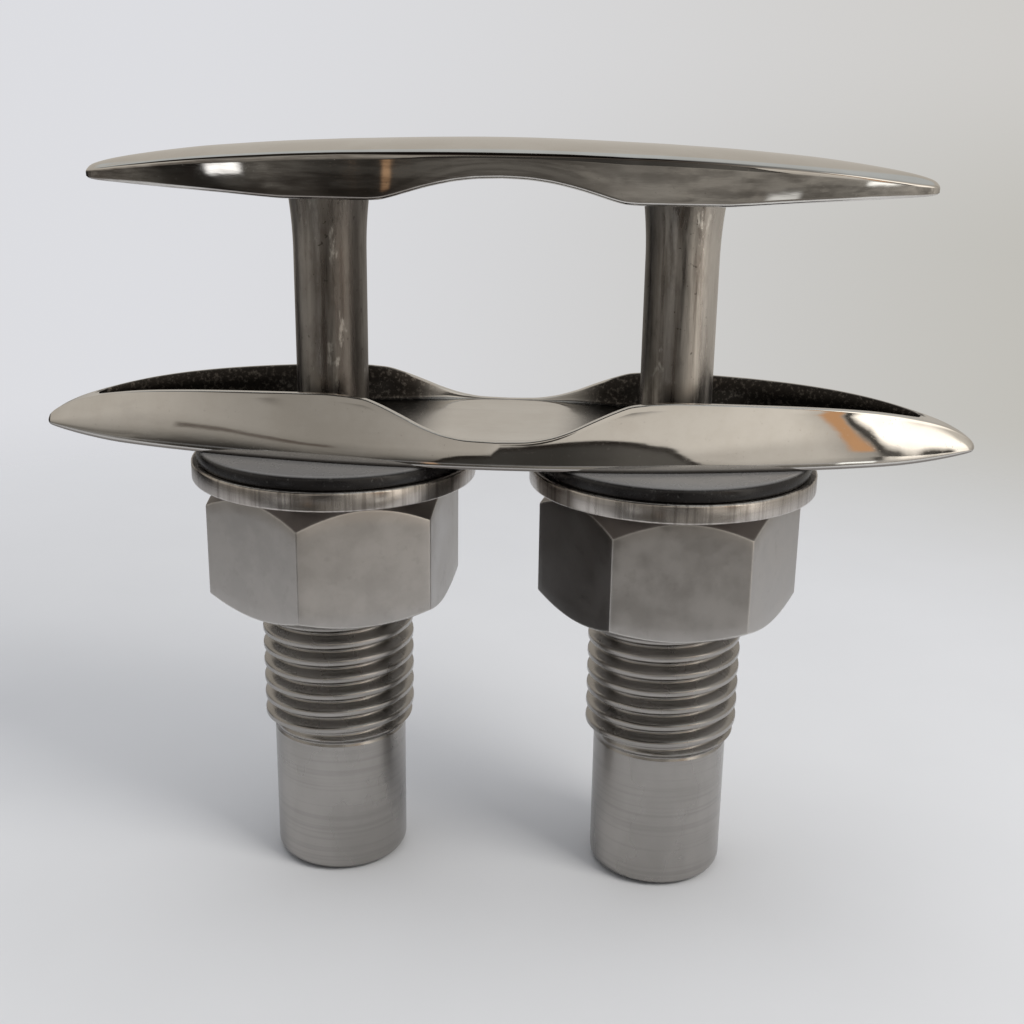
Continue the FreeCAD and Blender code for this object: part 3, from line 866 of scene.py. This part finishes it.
def rubber(name, shade, top):
    """Black rubber whose upward face is painted a slightly paler grey, a painted sheen from the light above.
    """
    material, n, coords, shader = start_material(name)
    cloud = n.noise(coords, 260.0, 4.0, 0.6)
    dust = n.remap(n.noise(coords, 1400.0, 2.0, 0.6), 0.6, 0.75, 0.0, 1.0)
    colour = n.mix(cloud, tuple(0.6 * v for v in shade), tuple(1.5 * v for v in shade))
    colour = n.mix(n.math("MULTIPLY", dust, 0.15), colour, (0.25, 0.24, 0.22))
    up = n.split(n.new("ShaderNodeNewGeometry").outputs["Normal"])[2]
    # painted sheen: the upward face is made paler, as lit from above
    colour = n.mix(n.remap(up, 0.5, 0.95, 0.0, 1.0), colour, top)
    n.link(colour, shader.inputs["Base Color"])
    n.link(n.remap(cloud, 0.3, 0.7, 0.20, 0.32), shader.inputs["Roughness"])
    n.link(1.45, shader.inputs["IOR"])
    n.link(n.bump(cloud, 0.00001, 0.5), shader.inputs["Normal"])
    return material


def nylon():
    material, n, coords, shader = start_material("white_nylon")
    cloud = n.noise(coords, 200.0, 3.0, 0.6)
    colour = n.mix(cloud, (0.66, 0.65, 0.6), (0.8, 0.79, 0.75))
    n.link(colour, shader.inputs["Base Color"])
    n.link(n.remap(cloud, 0.3, 0.7, 0.35, 0.5), shader.inputs["Roughness"])
    n.link(n.bump(cloud, 0.00002, 0.4), shader.inputs["Normal"])
    return material


def paint(obj, material):
    obj.data.materials.clear()
    obj.data.materials.append(material)


def add_piece(piece, material):
    paint(piece, material)


# ---------------------------------------------------------------- build

# name, dark and light colours, lowest and highest roughness, depth of the turning rings, streaks
barrel_metal = turned_steel("turned_stainless", (0.35, 0.335, 0.315), (0.42, 0.40, 0.38),
                            0.25, 0.31, 0.00001)
washer_metal = turned_steel("washer_stainless", (0.48, 0.445, 0.41), (0.60, 0.565, 0.53),
                            0.18, 0.28, 0.000008, 0.6)
screw_metal = turned_steel("screw_stainless", (0.45, 0.44, 0.42), (0.55, 0.54, 0.52),
                           0.25, 0.35, 0.000006)
# the last colour given to rubber() is the painted sheen on the upward face
black_rubber = rubber("black_rubber", (0.007, 0.006, 0.006), (0.17, 0.165, 0.16))
carried_over = {
    "guide_bush_": nylon(),
    "friction_ring_": rubber("seal_rubber", (0.012, 0.012, 0.012), (0.02, 0.02, 0.02)),
    "stop_collar_": barrel_metal,
    "collar_screw_": screw_metal,
}

add_piece(build_horn(), polished_steel("horn_polish", False))
add_piece(build_base(), polished_steel("base_polish", True))
for side in SIDES:
    add_piece(build_post(side), cast_post_steel(side))
    add_piece(build_barrel(side), barrel_metal)
    add_piece(build_rubber_washer(side), black_rubber)
    add_piece(build_steel_washer(side), washer_metal)
    add_piece(build_nut(side), nut_steel(side))
    for node, material in carried_over.items():
        paint(frame["nodes"][node + side], material)


# ---------------------------------------------------------------- floor, light, camera

FLOOR_DROP = 0.05                    # the floor is just clear of the barrels' ends


def build_floor():
    """A round sheet of pale paper that fades out away from the object and towards the camera."""
    mesh = bpy.data.meshes.new("floor")
    bm = bmesh.new()
    bmesh.ops.create_circle(bm, cap_ends=True, radius=1.2, segments=96)
    bm.to_mesh(mesh)
    bm.free()
    floor = bpy.data.objects.new("floor", mesh)
    bpy.context.scene.collection.objects.link(floor)
    floor.location.z = cad_box[0][2] - FLOOR_DROP * MM
    material = bpy.data.materials.new("floor_paper")
    material.use_nodes = True
    n = Nodes(material.node_tree)
    coords = n.new("ShaderNodeTexCoord").outputs["Object"]
    apart = n.new("ShaderNodeVectorMath", operation="LENGTH")
    n.link(coords, apart.inputs[0])
    slope = n.split(n.new("ShaderNodeNewGeometry").outputs["Incoming"])[2]
    steep = n.remap(slope, 0.2, 0.3, 0.0, 1.0)
    front = n.math("MULTIPLY", n.remap(n.split(coords)[1], -0.10, -0.16, 0.0, 1.0), steep)
    fade = n.math("MAXIMUM", n.remap(apart.outputs["Value"], 0.16, 0.46, 0.0, 1.0), front)
    paper = n.noise(coords, 30.0, 3.0, 0.5)
    colour = n.mix(paper, (0.64, 0.642, 0.645), (0.67, 0.672, 0.675))
    diffuse = n.new("ShaderNodeBsdfDiffuse")
    n.link(colour, diffuse.inputs["Color"])
    clear = n.new("ShaderNodeBsdfTransparent")
    blend = n.new("ShaderNodeMixShader")
    n.link(fade, blend.inputs[0])
    n.link(diffuse.outputs[0], blend.inputs[1])
    n.link(clear.outputs[0], blend.inputs[2])
    out = n.new("ShaderNodeOutputMaterial")
    n.link(blend.outputs[0], out.inputs["Surface"])
    mesh.materials.append(material)


# Brightness of the room by direction, in degrees to the right of straight towards the camera.
# WALL is from about level upwards, and DESK is what lies below it.
# The levels are set from tones read off the reflections of the real object.
WALL = [
    (-180, 0.50), (-100, 0.50), (-62, 0.53), (-48, 0.47), (-36, 0.35), (-26, 0.30), (-18, 0.33),
    (-11, 0.40), (-4, 0.50), (9, 0.63), (17, 0.67), (25, 0.73), (36, 0.76), (41, 0.62), (47.5, 0.45),
    (49.0, 0.06), (51.0, 0.10), (53.0, 1.9), (64, 1.7), (70, 0.7), (100, 0.5), (180, 0.50),
]
DESK = [
    (-180, 0.25), (-115, 0.10), (-100, 0.10), (-66, 0.24), (-58, 0.19), (-50, 0.075), (-44, 0.032),
    (-37, 0.016), (-33, 0.03), (-28, 0.10), (-23, 0.147), (-18, 0.10), (-15, 0.042), (-9.5, 0.08),
    (-5, 0.14), (-2, 0.13), (1, 0.25), (10, 0.29), (22, 0.27), (34, 0.22), (41, 0.25), (50, 0.42),
    (60, 0.46), (75, 0.60), (110, 0.35), (180, 0.25),
]
# separate things in the room: direction, height, width, height span, softness (degrees), colour
PATCHES = [
    (45.0, 9.0, 5.0, 30.0, 1.2, (0.66, 0.37, 0.19)),
    (-38.0, 30.0, 16.0, 14.0, 3.0, (0.16, 0.145, 0.13)),
    (-31.5, -14.6, 5.6, 5.4, 0.7, (1.7, 1.7, 1.7)),
    (-116.0, -19.0, 30.0, 50.0, 8.0, (0.012, 0.010, 0.010)),
    (-11.2, -17.0, 1.9, 9.0, 0.4, (0.46, 0.29, 0.17)),
    (-35.0, -1.5, 22.0, 2.4, 0.9, (0.13, 0.11, 0.095)),
    (45.5, -16.4, 8.0, 3.2, 0.8, (1.6, 1.6, 1.55)),
    (23.5, -21.5, 5.0, 2.6, 0.8, (0.9, 0.9, 0.88)),
]
DARK = (0.022, 0.018, 0.015)
CEILING = (0.55, 0.57, 0.57)


def warm(value):
    return (1.07 * value, value, 0.9 * value)


def ramp(n, value, stops):
    """Brightness by direction, where the value is 0 to 1 once round the room."""
    node = n.new("ShaderNodeValToRGB")
    n.link(value, node.inputs["Fac"])
    marks = node.color_ramp.elements
    while len(marks) < len(stops):
        marks.new(0.5)
    for mark, (degrees, brightness) in zip(marks, stops):
        mark.position = degrees / 360 + 0.5
        mark.color = rgba(warm(brightness))
    return node.outputs["Color"]


def room_colour(n, direction, x, y, z):
    """What polished metal reflects: a pale room over a dark desk, with a dark figure at the camera."""
    wobble = n.math("SUBTRACT", n.noise(direction, 7.0, 3.0, 0.55), 0.5)
    turn = n.math("DEGREES", n.math("ARCTAN2", x, n.math("MULTIPLY", y, -1.0)))
    rise = n.math("DEGREES", n.math("ARCSINE", z))
    turn = n.math("ADD", turn, n.math("MULTIPLY", wobble, 2.0))
    rise = n.math("ADD", rise, n.math("MULTIPLY", wobble, 3.0))
    slant = n.math("MULTIPLY", n.math("ADD", rise, 2.0), n.remap(turn, 26.0, 36.0, 0.0, 0.33))
    slant = n.math("MULTIPLY", slant, n.math("GREATER_THAN", rise, -10.0))
    turn = n.math("ADD", turn, slant)
    share = n.math("ADD", n.math("DIVIDE", turn, 360.0), 0.5)
    clutter = n.noise(direction, 9.0, 4.0, 0.7, (1, 1, 4))
    desk = n.mix(n.remap(clutter, 0.38, 0.62, 0.0, 0.55), ramp(n, share, DESK), DARK)
    wall = n.mix(n.remap(rise, 6.0, -4.0, 0.0, 0.22), ramp(n, share, WALL), DARK)
    join = n.remap(turn, 14.0, 30.0, -2.0, -9.0)
    colour = n.mix(n.remap(n.math("SUBTRACT", rise, join), -11.0, 0.0, 0.0, 1.0), desk, wall)
    front = n.remap(n.math("ABSOLUTE", turn), 90.0, 110.0, 1.0, 0.0)
    left = n.remap(turn, 8.0, 20.0, 1.0, 0.0)
    above = n.mix(n.math("MULTIPLY", front, left), CEILING, DARK)
    colour = n.mix(n.remap(rise, 36.0, 42.0, 0.0, 1.0), colour, above)
    bend = n.math("POWER", n.math("SUBTRACT", turn, 6.0), 2.0)
    crest = n.math("SUBTRACT", 18.0, n.math("MULTIPLY", bend, 0.105))
    under = n.math("SUBTRACT", crest, rise)
    inside = n.mix(n.remap(under, 1.5, 8.0, 0.0, 1.0), DARK, n.mix(n.remap(turn, 2.0, 14.0, 0.0, 1.0),
                   warm(0.045), warm(0.10)))
    keep = n.math("MULTIPLY", n.remap(under, -1.0, 1.0, 0.0, 1.0), n.remap(rise, -14.5, -12.5, 0.0, 1.0))
    colour = n.mix(keep, colour, inside)
    for az, el, wide, tall, soft, patch in PATCHES:
        across = n.math("ABSOLUTE", n.math("SUBTRACT", turn, az))
        along = n.math("ABSOLUTE", n.math("SUBTRACT", rise, el))
        mask = n.math("MULTIPLY", n.remap(across, wide / 2 - soft, wide / 2 + soft, 1.0, 0.0),
                      n.remap(along, tall / 2 - soft, tall / 2 + soft, 1.0, 0.0))
        colour = n.mix(mask, colour, patch)
    return colour


def build_world():
    """A pale backdrop for the camera, soft light for matt things, and a room for reflections."""
    world = bpy.data.worlds.new("studio")
    bpy.context.scene.world = world
    world.use_nodes = True
    n = Nodes(world.node_tree)
    direction = n.new("ShaderNodeTexCoord").outputs["Generated"]
    x, y, z = n.split(direction)
    glossy = room_colour(n, direction, x, y, z)
    shade = n.mix(n.remap(z, -0.12, 0.02, 0.0, 1.0), (0.51, 0.495, 0.45), (0.60, 0.585, 0.555))
    pale = n.mix(n.remap(x, -0.35, 0.45, 0.0, 1.0), (0.72, 0.725, 0.755), shade)
    path = n.new("ShaderNodeLightPath")
    soft = n.mix(n.remap(z, -0.2, 0.9, 0.0, 1.0), (0.42, 0.42, 0.43), (0.52, 0.53, 0.56))
    colour = n.mix(path.outputs["Is Glossy Ray"], soft, glossy)
    colour = n.mix(path.outputs["Is Camera Ray"], colour, pale)
    background = n.new("ShaderNodeBackground")
    n.link(colour, background.inputs["Color"])
    out = n.new("ShaderNodeOutputWorld")
    n.link(background.outputs[0], out.inputs["Surface"])


def area_light(name, place, aim, size, power, colour):
    data = bpy.data.lights.new(name, "AREA")
    data.shape = "RECTANGLE"
    data.size, data.size_y = size
    data.energy = power
    data.color = colour
    light = bpy.data.objects.new(name, data)
    bpy.context.scene.collection.objects.link(light)
    light.location = place
    light.rotation_euler = (Vector(aim) - Vector(place)).to_track_quat("-Z", "Y").to_euler()
    light.visible_glossy = False
    light.visible_camera = False


CAMERA_PLACE = (17.894, -260.221, 68.665)
CAMERA_YAW, CAMERA_PITCH, CAMERA_ROLL = -0.0611, 0.3043, 0.0151    # radians
LENS = 50.2267                       # for a sensor 36 mm wide


def build_camera():
    data = bpy.data.cameras.new("camera")
    data.sensor_width = 36.0
    data.lens = LENS
    data.clip_start = 0.005
    camera = bpy.data.objects.new("camera", data)
    bpy.context.scene.collection.objects.link(camera)
    camera.location = Vector(CAMERA_PLACE) * MM
    yaw, pitch, roll = CAMERA_YAW, CAMERA_PITCH, CAMERA_ROLL
    look = Vector((math.sin(yaw) * math.cos(pitch), math.cos(yaw) * math.cos(pitch), -math.sin(pitch)))
    right = Vector((math.cos(yaw), -math.sin(yaw), 0.0))
    up = right.cross(look)
    r = right * math.cos(roll) + up * math.sin(roll)
    u = up * math.cos(roll) - right * math.sin(roll)
    camera.rotation_euler = Matrix((r, u, -look)).transposed().to_euler()
    bpy.context.scene.camera = camera


build_floor()
build_world()
area_light("key", (0.55, -0.35, 0.55), (0, 0, -0.03), (0.35, 0.35), 4.1, (1.0, 0.98, 0.95))
area_light("top", (-0.1, 0.1, 0.8), (0, 0, 0), (0.7, 0.7), 2.6, (0.97, 0.98, 1.0))
build_camera()
bpy.context.scene.view_settings.view_transform = "Standard"
